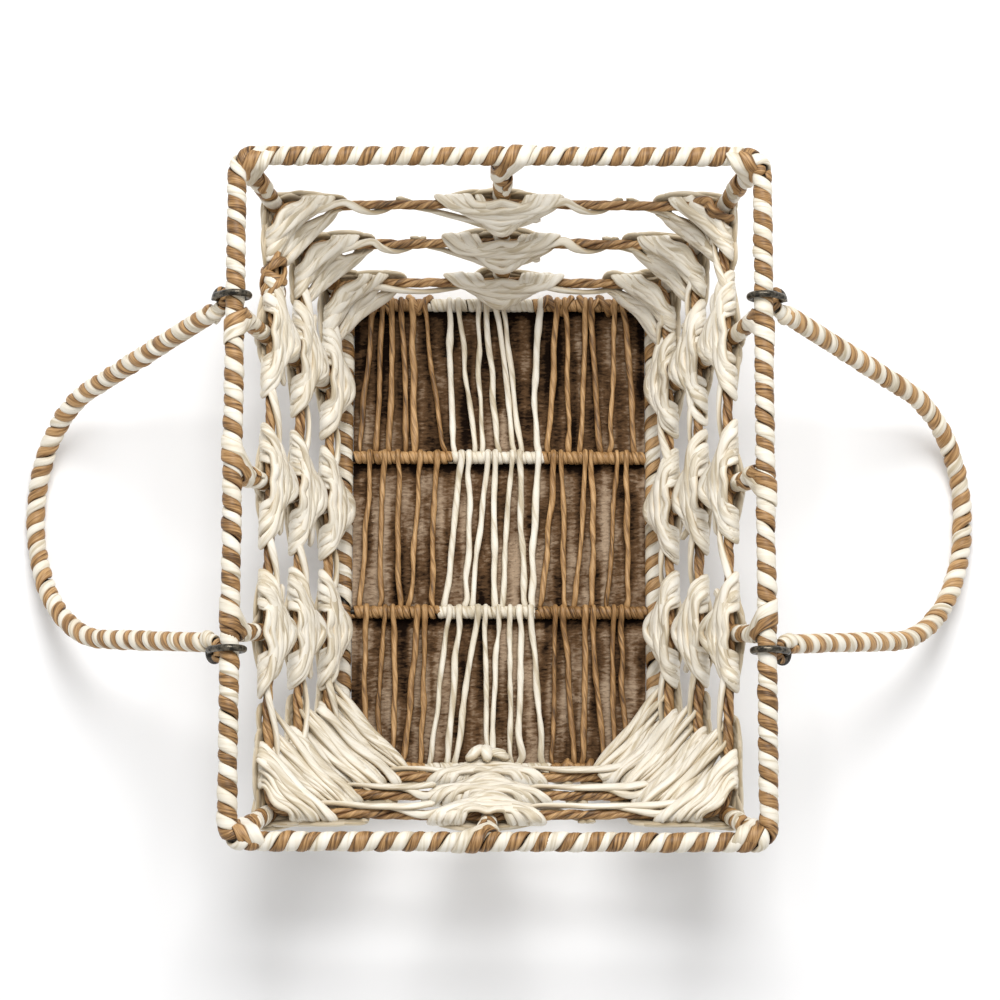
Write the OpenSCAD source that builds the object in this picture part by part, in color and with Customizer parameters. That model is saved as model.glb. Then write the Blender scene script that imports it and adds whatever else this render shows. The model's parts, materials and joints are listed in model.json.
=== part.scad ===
// Bread basket: a wrapped wire frame with three rope tiers, cream lashings,
// a corded base and two swinging carry handles on wire rings.
// Millimetres, +Z up. The origin is the centre of the footprint on the table,
// +Y points to the rear and +X to the right.

/* [Overall] */
// Width of the rim between rod centres
rim_w = 264; // [250:1:280]
// Length of the rim between rod centres
rim_l = 344; // [330:1:360]
// Width of the base frame between rod centres
base_w = 164; // [156:1:172]
// Length of the base frame between rod centres
base_l = 250; // [242:1:258]
// Rise from the base rod centres to the rim rod centres
rise = 132; // [126:1:140]
// Radius of the rim rod's bend at each corner
rim_bend = 9; // [8:0.5:12]
// Radius of the base rod's bend at each corner
base_bend = 6; // [5:0.5:8]

/* [Rods] */
// Radius of the rim wire
rim_wire_r = 2.6; // [2.5:0.1:3]
// Radius of the rim over its paper wrap
rim_r = 4.8; // [4.4:0.1:5.2]
// Radius of the base frame wire
base_wire_r = 2.5; // [2.3:0.1:2.7]
// Radius of the base frame's long rods over their paper wrap
base_r = 4; // [3.7:0.1:4.2]
// Radius of the base frame's end rods over their cord winding
end_winding_r = 3.8; // [3.4:0.1:3.9]
// Radius of a post wire
post_wire_r = 2.2; // [2:0.1:2.3]
// Radius of a post over its paper wrap
post_r = 4.4; // [4.1:0.1:4.7]
// Radius of a base crossbar wire
bar_wire_r = 1.8; // [1.5:0.1:2]
// Radius of a crossbar over its cord winding
bar_winding_r = 3; // [2.7:0.1:3.2]

/* [Posts] */
// Shift of the side posts and the handles towards the rear
side_shift = 11; // [6:1:12]
// Distance from the middle side post to its neighbours at the rim
side_span_top = 81; // [78:1:83]
// Distance from the middle side post to its neighbours at the base
side_span_bottom = 62; // [58:1:66]
// Place of the rear middle post, from the centre towards the right
rear_post_x = 1; // [-8:1:8]
// Place of the front middle post, from the centre towards the right
front_post_x = -5; // [-8:1:8]

/* [Weave] */
// Radius of a tier rope
rope_r = 2.6; // [2.2:0.1:3]
// Height of the upper tier as a share of the rise
upper_tier = 0.72; // [0.69:0.01:0.73]
// Height of the middle tier as a share of the rise
middle_tier = 0.46; // [0.44:0.01:0.47]
// Height of the lower tier as a share of the rise
lower_tier = 0.19; // [0.17:0.01:0.2]
// Half length of a lashing along the wall
lashing_half = 26; // [22:1:27]
// Radius of a lashing at its middle
lashing_r = 9.3; // [8.5:0.1:9.8]
// Radius of a base cord
cord_r = 1.6; // [1.4:0.1:1.7]
// Half width of the cream part of the base
cream_half = 28; // [26:1:30]
// Shift of the cream part of the base, towards the right
cream_shift = -6; // [-8:1:-2]
// Thickness of the brown fibre mat under the base cords
mat_t = 2.1; // [1.6:0.1:2.1]

/* [Handles] */
// Distance from the rim rod to the far side of a handle
handle_reach = 174; // [165:1:174]
// Radius of the handle wire
handle_wire_r = 2.2; // [2:0.1:2.3]
// Radius of the handle over its paper wrap
handle_r = 4.9; // [4.6:0.1:5.1]
// Radius of the bend at the front of a handle
front_bend = 73; // [68:1:73]
// Radius of the bend at the rear of a handle
rear_bend = 62; // [57:1:62]
// Lean of the front leg towards the rear leg, in degrees
front_lean = 6.4; // [5:0.1:6.5]
// Lean of the rear leg towards the front leg, in degrees
rear_lean = 12.4; // [11:0.1:12.5]

/* [Rings] */
// Distance from the middle of a handle to each of its rings along the rim
ring_span = 89; // [89:0.5:90]
// Radius of the ring wire
ring_wire_r = 1.7; // [1.5:0.05:1.8]
// Clearance between a ring and the rim wrap
ring_gap = 0.4; // [0.3:0.1:0.6]
// Distance between the two round ends of a ring
ring_flat = 5.2; // [5:0.1:6.5]

/* [Hidden] */

$fn = 48;
// Clearance between pieces that lie against each other in the weave
fit = 0.1;
// Extra length of a cutting tool past the face that it cuts
past = 1;

// Colours
brown = "#b08458";
cream = "#ebe6da";
striped = "#cdb08c";
iron = "#3c3a34";
dark_fibre = "#5a4632";

// Heights of the rod centres
base_z = base_r;
rim_z = base_z + rise;
tiers = [for (share = [upper_tier, middle_tier, lower_tier]) base_z + share * rise];

// A bend's middle lies this share of its radius inside the sharp corner, along X and along Y
bend_inset = 1 - 1 / sqrt(2);

function corner_top(side_x, side_y) = [
    side_x * (rim_w / 2 - rim_bend * bend_inset),
    side_y * (rim_l / 2 - rim_bend * bend_inset), rim_z];
function corner_bottom(side_x, side_y) = [
    side_x * (base_w / 2 - base_bend * bend_inset),
    side_y * (base_l / 2 - base_bend * bend_inset), base_z];
function side_top(side_x, step) = [side_x * rim_w / 2, side_shift + step * side_span_top, rim_z];
function side_bottom(side_x, step) =
    [side_x * base_w / 2, side_shift + step * side_span_bottom, base_z];
function end_post_x(side_y) = side_y > 0 ? rear_post_x : front_post_x;
function end_top(side_y) = [end_post_x(side_y), side_y * rim_l / 2, rim_z];
function end_bottom(side_y) = [end_post_x(side_y), side_y * base_l / 2, base_z];

// Each post as [top, bottom]: four corners, three on each side, one at each end
corner_posts = [for (c = [[-1, 1], [1, 1], [1, -1], [-1, -1]])
    [corner_top(c[0], c[1]), corner_bottom(c[0], c[1])]];
side_posts = [for (side_x = [-1, 1]) for (step = [1, 0, -1])
    [side_top(side_x, step), side_bottom(side_x, step)]];
end_posts = [for (side_y = [1, -1]) [end_top(side_y), end_bottom(side_y)]];

// Lengths of post left bare where it runs into the rim and base wraps
corner_trim_top = rim_r + 2.4;
corner_trim_bottom = base_r + 2.4;
straight_trim_top = rim_r + 1;
straight_trim_bottom = base_r + 1;

// Point where a post crosses a height
function post_at(post, z) = post[1] + (post[0] - post[1]) * (z - base_z) / rise;

// Base crossbars stand at thirds of the base
bar_y = base_l / 6;
bay_edges = [base_l / 2, bar_y, -bar_y, -base_l / 2];
bay_radii = [end_winding_r, bar_winding_r, bar_winding_r, end_winding_r];
// Inner half width of the base between the long rods
bay_half = base_w / 2 - base_r - fit;
// Left and right edge of the cream part of the base
cream_left = cream_shift - cream_half;
cream_right = cream_shift + cream_half;
brown_cords = 6;
cream_cords = 8;

// Handle outline in the handle's own plane: u runs out from the rim rod, v runs to the rear.
// The wire's ends are bent round into eyes that hang on the rings.
eye_bend = ring_wire_r + 0.35 + handle_wire_r;
eye_u = ring_flat + rim_r + ring_gap + ring_wire_r;
eye_turn = acos(1 - (2 * handle_wire_r + fit) / eye_bend);
front_eye = [eye_u, -ring_span];
rear_eye = [eye_u, ring_span];
front_along = [cos(front_lean), sin(front_lean)];
front_inward = [-sin(front_lean), cos(front_lean)];
rear_along = [cos(rear_lean), -sin(rear_lean)];
rear_inward = [-sin(rear_lean), -cos(rear_lean)];
front_start = front_eye + eye_bend * front_inward;
rear_start = rear_eye + eye_bend * rear_inward;
front_bend_u = handle_reach - front_bend;
rear_bend_u = handle_reach - rear_bend;
front_bend_v = front_start[1]
    + (front_bend + (front_bend_u - front_start[0]) * sin(front_lean)) / cos(front_lean);
rear_bend_v = rear_start[1]
    - (rear_bend + (rear_bend_u - rear_start[0]) * sin(rear_lean)) / cos(rear_lean);
// Turn of a bend between two rings of the swept handle, and of an eye
bend_step = 6;
eye_step = 15;
handle_sides = 20;
// Bare length of leg between an eye and the start of the paper wrap
bare_leg = eye_bend + handle_wire_r + fit;
// The far side of a handle rests this far above the table
rest_gap = 0.3;
rest_angle = asin((rim_z - handle_r - rest_gap) / handle_reach);

// ---- Shared shapes ----

// Round rod from one point to another, shortened at both ends
module rod(from, to, r, trim_from = 0, trim_to = 0) {
    run = to - from;
    translate(from)
        rotate([0, acos(run[2] / norm(run)), atan2(run[1], run[0])])
            translate([0, 0, trim_from])
                cylinder(h = norm(run) - trim_from - trim_to, r = r);
}

// Hollow rod from one point to another
module sleeve(from, to, r_out, r_in, trim_from = 0, trim_to = 0) {
    difference() {
        rod(from, to, r_out, trim_from, trim_to);
        rod(from, to, r_in, trim_from - past, trim_to - past);
    }
}

// Quarter bend of a round rod in the XY plane, centred on its bend axis
module quarter_bend(bend, r, start) {
    rotate([0, 0, start])
        rotate_extrude(angle = 90)
            translate([bend, 0])
                circle(r = r);
}

// Closed rectangular loop of rod with bent corners
module rod_loop(w, l, z, bend, r) {
    for (side = [-1, 1]) {
        rod([side * w / 2, bend - l / 2, z], [side * w / 2, l / 2 - bend, z], r);
        rod([bend - w / 2, side * l / 2, z], [w / 2 - bend, side * l / 2, z], r);
    }
    for (corner = [[1, 1, 0], [-1, 1, 90], [-1, -1, 180], [1, -1, 270]])
        translate([corner[0] * (w / 2 - bend), corner[1] * (l / 2 - bend), z])
            quarter_bend(bend, r, corner[2]);
}

module all_post_wires(r) {
    for (post = concat(corner_posts, side_posts, end_posts))
        rod(post[0], post[1], r);
}

module rim_core() {
    rod_loop(rim_w, rim_l, rim_z, rim_bend, rim_wire_r);
}

module base_core() {
    rod_loop(base_w, base_l, base_z, base_bend, base_wire_r);
}

// ---- Frame ----

module rim_wire() {
    color(iron) rim_core();
}

module rim_wrap() {
    color(striped) difference() {
        rod_loop(rim_w, rim_l, rim_z, rim_bend, rim_r);
        rim_core();
        all_post_wires(post_wire_r);
    }
}

module base_wire() {
    color(iron) base_core();
}

// Paper wrap on the two long rods and round the corners
module base_wrap() {
    color(striped) difference() {
        rod_loop(base_w, base_l, base_z, base_bend, base_r);
        base_core();
        all_post_wires(post_wire_r);
        crossbar(1);
        crossbar(-1);
        for (side = [-1, 1])
            translate([0, side * base_l / 2, base_z])
                cube([base_w - 2 * base_bend, 3 * base_r, 3 * base_r], center = true);
    }
}

module crossbar(side) {
    rod([-base_w / 2, side * bar_y, base_z], [base_w / 2, side * bar_y, base_z], bar_wire_r);
}

module crossbar_wire(side) {
    color(iron) difference() {
        crossbar(side);
        base_core();
    }
}

// ---- Cord windings on the end rods and crossbars ----

module winding(y, r_out, r_in, x_from, x_to) {
    sleeve([x_from, y, base_z], [x_to, y, base_z], r_out, r_in);
}

module end_winding(x_from, x_to) {
    difference() {
        for (side = [-1, 1])
            winding(side * base_l / 2, end_winding_r, base_wire_r, x_from, x_to);
        for (post = end_posts)
            rod(post[0], post[1], post_wire_r);
    }
}

module end_winding_cream() {
    color(cream) end_winding(cream_left + fit, cream_right - fit);
}

module end_winding_brown() {
    edge = base_w / 2 - base_bend - fit;
    color(brown) for (side = [-1, 1])
        for (end = [-1, 1])
            winding(end * base_l / 2, end_winding_r, base_wire_r,
                side > 0 ? cream_right : -edge, side > 0 ? edge : cream_left);
}

module crossbar_winding_cream() {
    color(cream) for (bar = [-1, 1])
        winding(bar * bar_y, bar_winding_r, bar_wire_r, cream_left + fit, cream_right - fit);
}

module crossbar_winding_brown() {
    color(brown) for (side = [-1, 1])
        for (bar = [-1, 1])
            winding(bar * bar_y, bar_winding_r, bar_wire_r,
                side > 0 ? cream_right : -bay_half, side > 0 ? bay_half : cream_left);
}

// ---- Posts ----

module post_wires(posts) {
    color(iron) difference() {
        for (post = posts)
            rod(post[0], post[1], post_wire_r);
        rim_core();
        base_core();
    }
}

module corner_wrap(index) {
    color(striped)
        sleeve(corner_posts[index][0], corner_posts[index][1], post_r, post_wire_r,
            corner_trim_top, corner_trim_bottom);
}

module straight_wrap(post) {
    color(striped)
        sleeve(post[0], post[1], post_r, post_wire_r, straight_trim_top, straight_trim_bottom);
}

// ---- Rope tiers: each tier runs from post to post round the basket ----

// Posts in their order round the basket, starting at the rear left corner
function ring_of_posts() = [
    corner_posts[0], end_posts[0], corner_posts[1], side_posts[3], side_posts[4], side_posts[5],
    corner_posts[2], end_posts[1], corner_posts[3], side_posts[2], side_posts[1], side_posts[0]];

module tier_runs(z, r) {
    posts = ring_of_posts();
    for (i = [0 : len(posts) - 1])
        rod(post_at(posts[i], z), post_at(posts[(i + 1) % len(posts)], z), r);
}

module rope(z) {
    color(brown) difference() {
        tier_runs(z, rope_r);
        for (post = ring_of_posts())
            rod(post[0], post[1], post_r + fit);
    }
}

// ---- Lashings: a hank of cream strands round each crossing of a post and a rope ----

// Cone towards a point, starting a little way out from another point
module taper(from, to, start, end, r_start, r_end) {
    run = to - from;
    translate(from)
        rotate([0, acos(run[2] / norm(run)), atan2(run[1], run[0])])
            translate([0, 0, start])
                cylinder(h = end - start, r1 = r_start, r2 = r_end);
}

// A drum round the post with a tapered tail along each neighbouring run of rope, at every tier
module lashing(index) {
    posts = ring_of_posts();
    post = posts[index];
    neighbours = [posts[(index + 1) % len(posts)], posts[(index + len(posts) - 1) % len(posts)]];
    tail_start = lashing_r / 3;
    tail_r = 0.9 * lashing_r;
    color(cream) difference() {
        for (z = tiers) {
            translate(post_at(post, z) - [0, 0, lashing_r])
                cylinder(h = 2 * lashing_r, r = lashing_r);
            for (next = neighbours)
                taper(post_at(post, z), post_at(next, z),
                    tail_start, lashing_half, tail_r, rope_r + 1);
        }
        rod(post[0], post[1], post_r + fit);
        for (z = tiers)
            for (next = neighbours)
                rod(post_at(post, z), post_at(next, z), rope_r + fit, post_r - past);
    }
}

// ---- Base cords ----

// Cords of one bay, evenly spaced between two edges
module bay_cords(bay, x_from, x_to, count) {
    y_from = bay_edges[bay] - bay_radii[bay] - fit;
    y_to = bay_edges[bay + 1] + bay_radii[bay + 1] + fit;
    pitch = (x_to - x_from) / count;
    for (i = [0 : count - 1]) {
        x = x_from + (i + 0.5) * pitch;
        rod([x, y_from, base_z], [x, y_to, base_z], cord_r);
    }
}

module brown_cords_left(bay) {
    color(brown) bay_cords(bay, -bay_half, cream_left, brown_cords);
}

module cream_cords_middle(bay) {
    color(cream) bay_cords(bay, cream_left, cream_right, cream_cords);
}

module brown_cords_right(bay) {
    color(brown) bay_cords(bay, cream_right, bay_half, brown_cords);
}

// Fibre mat lying inside the base frame, grooved under the crossbars
module base_mat() {
    mat_w = 2 * bay_half;
    mat_l = base_l - 2 * (end_winding_r + fit);
    color(dark_fibre) difference() {
        translate([-mat_w / 2, -mat_l / 2, 0])
            cube([mat_w, mat_l, mat_t]);
        for (side = [-1, 1])
            rod([-base_w, side * bar_y, base_z], [base_w, side * bar_y, base_z],
                bar_winding_r + fit);
    }
}

// ---- Handles ----

// Places a shape made in the handle's plane at its rest position
module at_handle(side) {
    mirror([side < 0 ? 1 : 0, 0, 0])
        translate([rim_w / 2, side_shift, rim_z])
            rotate([0, rest_angle, 0])
                children();
}

function from_centre(centre, radius, angle) = centre + radius * [cos(angle), sin(angle)];

// Stations along the handle, each a point in its plane and a heading
function bend_stations() = concat(
    [for (i = [0 : ceil((90 - front_lean) / bend_step)])
        let (turn = min(i * bend_step, 90 - front_lean) + front_lean)
        [from_centre([front_bend_u, front_bend_v], front_bend, turn - 90), turn]],
    [for (i = [0 : ceil((90 - rear_lean) / bend_step)])
        let (turn = min(i * bend_step, 90 - rear_lean))
        [from_centre([rear_bend_u, rear_bend_v], rear_bend, turn), turn + 90]]);

function wrap_stations() = concat(
    [[front_start + bare_leg * front_along, front_lean]],
    bend_stations(),
    [[rear_start + bare_leg * rear_along, 180 - rear_lean]]);

function wire_stations() = concat(
    [for (turn = [360 - eye_turn : -eye_step : 0])
        [from_centre(front_eye, eye_bend, 90 + front_lean + turn), front_lean + turn]],
    [[front_start + fit * front_along, front_lean]],
    bend_stations(),
    [[rear_start + fit * rear_along, 180 - rear_lean]],
    [for (turn = [360 - eye_turn : -eye_step : 0])
        let (back = 360 - eye_turn - turn)
        [from_centre(rear_eye, eye_bend, 270 - rear_lean - back), 180 - rear_lean - back]]);

// Points of one ring of the swept rod
function ring_points(station, r) = [
    for (k = [0 : handle_sides - 1])
        let (a = 360 * k / handle_sides, heading = station[1])
        [station[0][0] - r * cos(a) * sin(heading),
         station[0][1] + r * cos(a) * cos(heading),
         r * sin(a)]];

// Side walls between rings that start at an index, facing out or in
function walls(first, count, outward) = [
    for (i = [0 : count - 2]) for (k = [0 : handle_sides - 1])
        let (a = first + i * handle_sides + k,
             b = first + i * handle_sides + (k + 1) % handle_sides,
             c = b + handle_sides,
             d = a + handle_sides)
        outward ? [a, b, c, d] : [d, c, b, a]];

// Solid rod through the stations
module swept_rod(stations, r) {
    last = (len(stations) - 1) * handle_sides;
    polyhedron(
        points = [for (s = stations) each ring_points(s, r)],
        faces = concat(
            walls(0, len(stations), true),
            [[for (k = [handle_sides - 1 : -1 : 0]) k]],
            [[for (k = [0 : handle_sides - 1]) last + k]]));
}

// Hollow rod through the stations
module swept_sleeve(stations, r_out, r_in) {
    inner = len(stations) * handle_sides;
    last = inner - handle_sides;
    polyhedron(
        points = concat(
            [for (s = stations) each ring_points(s, r_out)],
            [for (s = stations) each ring_points(s, r_in)]),
        faces = concat(
            walls(0, len(stations), true),
            walls(inner, len(stations), false),
            [for (k = [0 : handle_sides - 1]) let (n = (k + 1) % handle_sides)
                [k, inner + k, inner + n, n]],
            [for (k = [0 : handle_sides - 1]) let (n = (k + 1) % handle_sides)
                [last + n, last + inner + n, last + inner + k, last + k]]));
}

module handle_wire(side) {
    color(iron) at_handle(side)
        swept_rod(wire_stations(), handle_wire_r);
}

module handle_wrap(side) {
    color(striped) at_handle(side)
        swept_sleeve(wrap_stations(), handle_r, handle_wire_r);
}

// Oval wire ring round the rim rod and through a handle's eye
module ring(side, end) {
    bend = rim_r + ring_gap + ring_wire_r;
    color(iron) at_handle(side)
        translate([0, end * ring_span, 0])
            rotate([90, 0, 0]) {
                rotate([0, 0, 90])
                    rotate_extrude(angle = 180)
                        translate([bend, 0])
                            circle(r = ring_wire_r);
                translate([ring_flat, 0, 0])
                    rotate([0, 0, -90])
                        rotate_extrude(angle = 180)
                            translate([bend, 0])
                                circle(r = ring_wire_r);
                for (flank = [-1, 1])
                    rod([0, flank * bend, 0], [ring_flat, flank * bend, 0], ring_wire_r);
            }
}

// ---- The basket ----

rim_wire();
rim_wrap();
base_wire();
base_wrap();
crossbar_wire(1);  // rear_crossbar_wire
crossbar_wire(-1);  // front_crossbar_wire
end_winding_cream();
end_winding_brown();
crossbar_winding_cream();
crossbar_winding_brown();
post_wires(corner_posts);  // corner_post_wires
post_wires(side_posts);  // side_post_wires
post_wires(end_posts);  // end_post_wires
corner_wrap(0);  // rear_left_corner_wrap
corner_wrap(1);  // rear_right_corner_wrap
corner_wrap(2);  // front_right_corner_wrap
corner_wrap(3);  // front_left_corner_wrap
straight_wrap(side_posts[0]);  // left_rear_post_wrap
straight_wrap(side_posts[1]);  // left_middle_post_wrap
straight_wrap(side_posts[2]);  // left_front_post_wrap
straight_wrap(side_posts[3]);  // right_rear_post_wrap
straight_wrap(side_posts[4]);  // right_middle_post_wrap
straight_wrap(side_posts[5]);  // right_front_post_wrap
straight_wrap(end_posts[0]);  // rear_middle_post_wrap
straight_wrap(end_posts[1]);  // front_middle_post_wrap
rope(tiers[0]);  // upper_rope
rope(tiers[1]);  // middle_rope
rope(tiers[2]);  // lower_rope
lashing(0);  // rear_left_corner_lashing
lashing(2);  // rear_right_corner_lashing
lashing(6);  // front_right_corner_lashing
lashing(8);  // front_left_corner_lashing
lashing(11);  // left_rear_lashing
lashing(10);  // left_middle_lashing
lashing(9);  // left_front_lashing
lashing(3);  // right_rear_lashing
lashing(4);  // right_middle_lashing
lashing(5);  // right_front_lashing
lashing(1);  // rear_middle_lashing
lashing(7);  // front_middle_lashing
brown_cords_left(0);  // rear_cords_left
cream_cords_middle(0);  // rear_cords_cream
brown_cords_right(0);  // rear_cords_right
brown_cords_left(1);  // middle_cords_left
cream_cords_middle(1);  // middle_cords_cream
brown_cords_right(1);  // middle_cords_right
brown_cords_left(2);  // front_cords_left
cream_cords_middle(2);  // front_cords_cream
brown_cords_right(2);  // front_cords_right
base_mat();
handle_wire(-1);  // left_handle_wire
handle_wrap(-1);  // left_handle_wrap
handle_wire(1);  // right_handle_wire
handle_wrap(1);  // right_handle_wrap
ring(-1, 1);  // left_rear_ring
ring(-1, -1);  // left_front_ring
ring(1, 1);  // right_rear_ring
ring(1, -1);  // right_front_ring
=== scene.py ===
"""Looks of the bread basket: paper wraps, ropes, lashings, base cords, fibre mat and handles."""
import json
from math import acos, asin, atan2, copysign, cos, exp, hypot, pi, radians, sin, sqrt

import bpy
import numpy as np
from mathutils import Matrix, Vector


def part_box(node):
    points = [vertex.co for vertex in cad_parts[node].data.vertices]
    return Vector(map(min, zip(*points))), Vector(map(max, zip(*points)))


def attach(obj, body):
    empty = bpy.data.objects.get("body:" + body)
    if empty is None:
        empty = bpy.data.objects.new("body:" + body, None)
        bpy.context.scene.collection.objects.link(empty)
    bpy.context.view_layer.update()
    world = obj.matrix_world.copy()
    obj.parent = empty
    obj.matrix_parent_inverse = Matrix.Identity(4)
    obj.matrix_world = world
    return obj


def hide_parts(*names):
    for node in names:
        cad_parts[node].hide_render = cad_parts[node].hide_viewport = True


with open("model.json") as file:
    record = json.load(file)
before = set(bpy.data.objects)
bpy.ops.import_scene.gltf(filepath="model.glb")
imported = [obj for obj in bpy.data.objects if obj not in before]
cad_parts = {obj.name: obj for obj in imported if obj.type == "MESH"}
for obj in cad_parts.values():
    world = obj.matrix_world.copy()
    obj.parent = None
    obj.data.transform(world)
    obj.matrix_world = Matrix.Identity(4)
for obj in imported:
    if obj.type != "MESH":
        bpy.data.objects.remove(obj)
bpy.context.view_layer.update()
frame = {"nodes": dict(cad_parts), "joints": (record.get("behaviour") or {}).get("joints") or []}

MM = 0.001
UP = np.array([0.0, 0.0, 1.0])
rng = np.random.default_rng(11)

# ------------ sizes, in metres


def span(node):
    """Lowest and highest corner of a CAD node as arrays."""
    low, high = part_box(node)
    return np.array(low), np.array(high)


def middle(node, axis):
    """Middle of a CAD node along one axis."""
    low, high = span(node)
    return float(low[axis] + high[axis]) / 2


def rod_frame(node):
    """Half width, half length, height and rod radius of a rectangular rod loop."""
    low, high = span(node)
    r = (high[2] - low[2]) / 2
    return high[0] - r, high[1] - r, (high[2] + low[2]) / 2, r


# Rim and base rods: half width, half length, height, radius and corner bends
RIM_X, RIM_Y, RIM_Z, RIM_R = rod_frame("rim_wrap")
RIM_WIRE_R = rod_frame("rim_wire")[3]
RIM_BEND = 9 * MM
BASE_X, BASE_Y, BASE_Z, BASE_WIRE_R = rod_frame("base_wire")
BASE_R = rod_frame("base_wrap")[3]
BASE_BEND = 6 * MM

# Posts: radius over the wrap and of the wire, and places between the corners
POST_R = 4.4 * MM
POST_WIRE_R = 2.2 * MM
SIDE_SHIFT = frame["joints"][0]["pos_m"][1]
SIDE_SPAN_TOP = 81 * MM
SIDE_SPAN_BOTTOM = 62 * MM
END_POST_X = {1: middle("rear_middle_post_wrap", 0), -1: middle("front_middle_post_wrap", 0)}

# Ropes, crossbars and mat
TIER_NODES = ("upper_rope", "middle_rope", "lower_rope")
BAR_Y = middle("rear_crossbar_wire", 1)
BAR_WIRE_R = 1.8 * MM
MAT_LOW, MAT_HIGH = span("base_mat")

# Handles: reach from the rim rod, radii, bends and the lean of the two legs
HANDLE_REACH = 174 * MM
HANDLE_WIRE_R = 2.2 * MM
HANDLE_R = 4.9 * MM
FRONT_BEND = 73 * MM
REAR_BEND = 62 * MM
FRONT_LEAN = radians(6.4)
REAR_LEAN = radians(12.4)

# Rings: distance from a handle's middle, wire, straight part and clearances
RING_SPAN = 89 * MM
RING_WIRE_R = float(span("left_rear_ring")[1][1] - span("left_rear_ring")[0][1]) / 2
RING_FLAT = 5.2 * MM
RING_GAP = 0.4 * MM
EYE_GAP = 0.35 * MM

# Eyes: distance from the rim rod, bend, and the leg beside them that has no stripes
EYE_U = RING_FLAT + RIM_R + RING_GAP + RING_WIRE_R
EYE_BEND = RING_WIRE_R + EYE_GAP + HANDLE_WIRE_R
BARE_LEG = EYE_BEND + HANDLE_WIRE_R + 0.2 * MM

# ------------ curves

ROD_STEP = 2 * MM


def unit(v):
    return v / np.maximum(np.linalg.norm(v, axis=-1, keepdims=True), 1e-12)


def lengths(points):
    """Arc length at each point of a polyline."""
    steps = np.linalg.norm(np.diff(points, axis=0), axis=1)
    return np.concatenate([[0.0], np.cumsum(steps)])


def sample(rows, at):
    """Rows of a polyline at arc lengths; its first three columns are its points."""
    s = lengths(rows[:, :3])
    return np.stack([np.interp(at, s, column) for column in rows.T], axis=1)


def resample(points, step):
    """The same polyline with evenly spaced points."""
    points = np.asarray(points, float)
    total = lengths(points)[-1]
    count = max(int(round(total / step)), 2) + 1
    return sample(points, np.linspace(0, total, count))


def catmull_rom(rows, parts, closed=False):
    """Smooth curve through rows, in so many parts from one to the next."""
    if closed:
        p = np.vstack([rows[-1], rows, rows[:2]])
    else:
        p = np.vstack([2 * rows[0] - rows[1], rows, 2 * rows[-1] - rows[-2]])
    t = np.linspace(0, 1, parts, endpoint=False)[:, None]
    out = []
    for i in range(1, len(p) - 2):
        a, b, c, d = p[i - 1], p[i], p[i + 1], p[i + 2]
        out.append(0.5 * (2 * b + (c - a) * t + (2 * a - 5 * b + 4 * c - d) * t**2
                          + (3 * b - a - 3 * c + d) * t**3))
    out.append(p[-2][None])
    return np.vstack(out)


def curve_through(points, step):
    """Smooth open curve through points, evenly sampled."""
    return resample(catmull_rom(np.asarray(points, float), 16), step)


def smooth_rows(rows, step, closed=False):
    """Rows of a point and an outward direction joined by a smooth curve, evenly sampled."""
    fine = catmull_rom(np.asarray(rows, float), 14, closed)
    total = lengths(fine[:, :3])[-1]
    return sample(fine, np.linspace(0, total, max(int(total / step), 8), endpoint=not closed))


def rounded_loop(half_x, half_y, z, bend):
    """Closed rectangular path with round corners, counterclockwise from above."""
    points = []
    for corner, start in (((1, 1), 0), ((-1, 1), 90), ((-1, -1), 180), ((1, -1), 270)):
        centre = np.array([corner[0] * (half_x - bend), corner[1] * (half_y - bend)])
        for turn in range(0, 91, 10):
            a = radians(start + turn)
            points.append([*(centre + bend * np.array([cos(a), sin(a)])), z])
    points.append(points[0])
    return resample(points, ROD_STEP)


def smooth_noise(count, spacing, size):
    """Smooth random values along a strand, one bump about every spacing samples."""
    knots = rng.normal(0, size, int(count / spacing) + 4)
    at = np.linspace(0, len(knots) - 1.001, count)
    i = at.astype(int)
    f = at - i
    f = f * f * (3 - 2 * f)
    return knots[i] * (1 - f) + knots[i + 1] * f


# ------------ strands into meshes

SWELL_SPACING = 7  # samples from one thick place of a strand to the next
ROUND_OFF = 0.9  # a cut end rounds off over this share of the strand's half thickness
BLUNT = 0.12  # and keeps the square root of this share of its width
# Painted shade: the valleys between the twists of a strand are painted darker by this share.
PLY_VALLEY_SHADE = 0.16  # how much darker the valleys between the twists of a strand are
LEAST_HEIGHT = 0.05 * MM  # strands are pressed flat where they touch the table


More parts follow.
